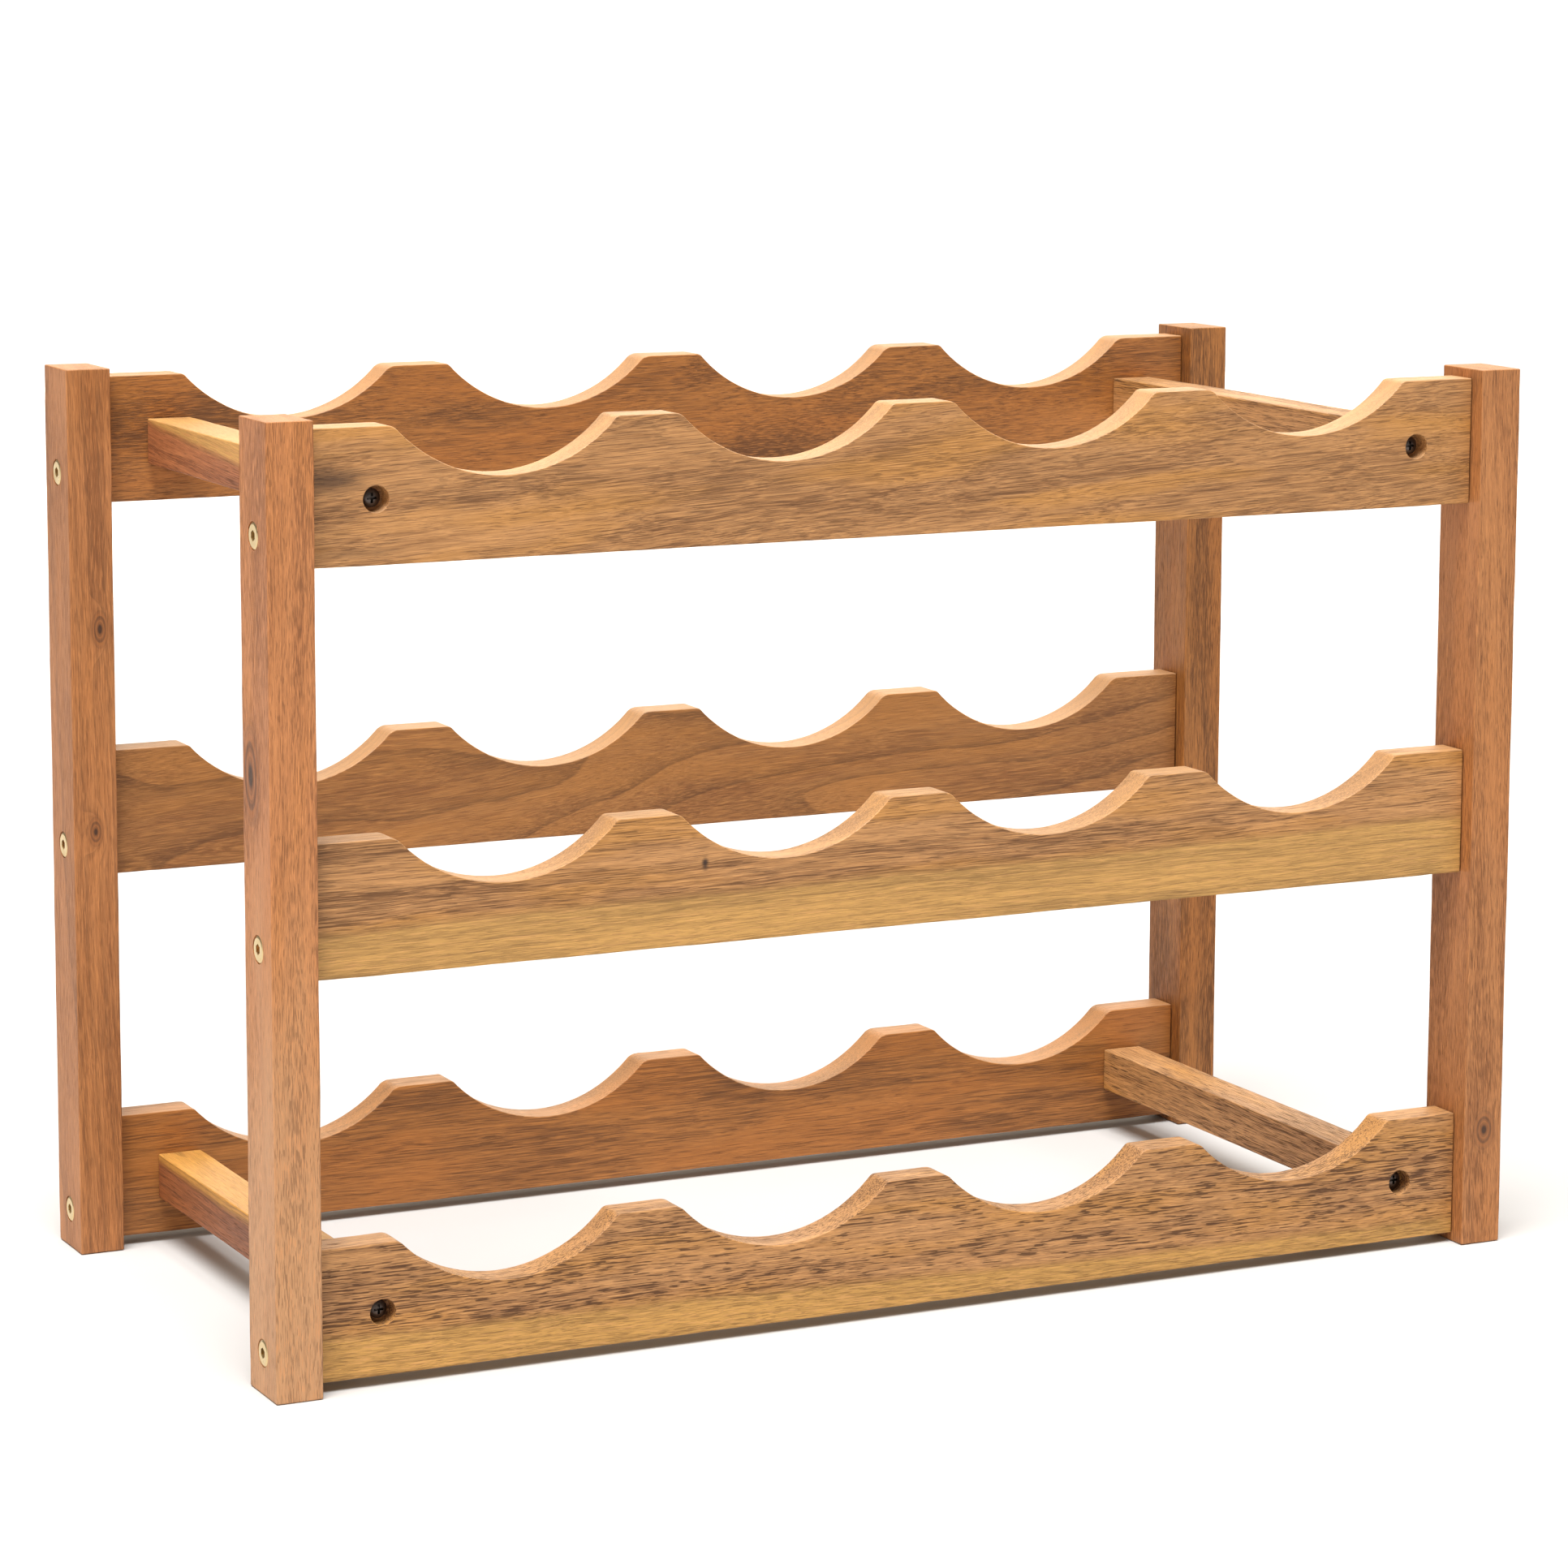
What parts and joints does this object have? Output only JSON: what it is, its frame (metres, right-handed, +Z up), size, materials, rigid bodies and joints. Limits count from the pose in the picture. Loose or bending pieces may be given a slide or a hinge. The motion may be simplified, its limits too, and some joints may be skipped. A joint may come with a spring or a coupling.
{
  "type": "wine rack",
  "caption": "Free-standing three-tier wooden wine rack: corner posts, scalloped front and rear rails that cradle bottles lying front to back, and square crossbars.",
  "frame": {"origin": "centre of the footprint, on the surface that the posts stand on", "axes": "+X to the right along the rails, -Y towards the front, +Z up"},
  "size_m": [0.43, 0.206, 0.29],
  "materials": {
    "post_wood": "oiled acacia, reddish brown, fine straight grain",
    "rail_wood": "oiled acacia, golden brown with short dark pores and a paler sapwood band",
    "crossbar_wood": "oiled acacia, sawn and lightly sanded",
    "beech_dowel": "plain beech",
    "brass_screw": "brass-plated, satin",
    "dark_screw": "black-oxide steel, satin"
  },
  "bodies": {
    "root": {"front_left_post": "post_wood", "front_left_connector_screws": "brass_screw", "front_left_dowels": "beech_dowel", "front_right_post": "post_wood", "front_right_connector_screws": "brass_screw", "front_right_dowels": "beech_dowel", "rear_left_post": "post_wood", "rear_left_connector_screws": "brass_screw", "rear_left_dowels": "beech_dowel", "rear_right_post": "post_wood", "rear_right_connector_screws": "brass_screw", "rear_right_dowels": "beech_dowel", "bottom_front_rail": "rail_wood", "bottom_rear_rail": "rail_wood", "middle_front_rail": "rail_wood", "middle_rear_rail": "rail_wood", "top_front_rail": "rail_wood", "top_rear_rail": "rail_wood", "bottom_left_crossbar": "crossbar_wood", "bottom_left_crossbar_screws": "dark_screw", "bottom_right_crossbar": "crossbar_wood", "bottom_right_crossbar_screws": "dark_screw", "top_left_crossbar": "crossbar_wood", "top_left_crossbar_screws": "dark_screw", "top_right_crossbar": "crossbar_wood", "top_right_crossbar_screws": "dark_screw"}
  },
  "joints": []
}
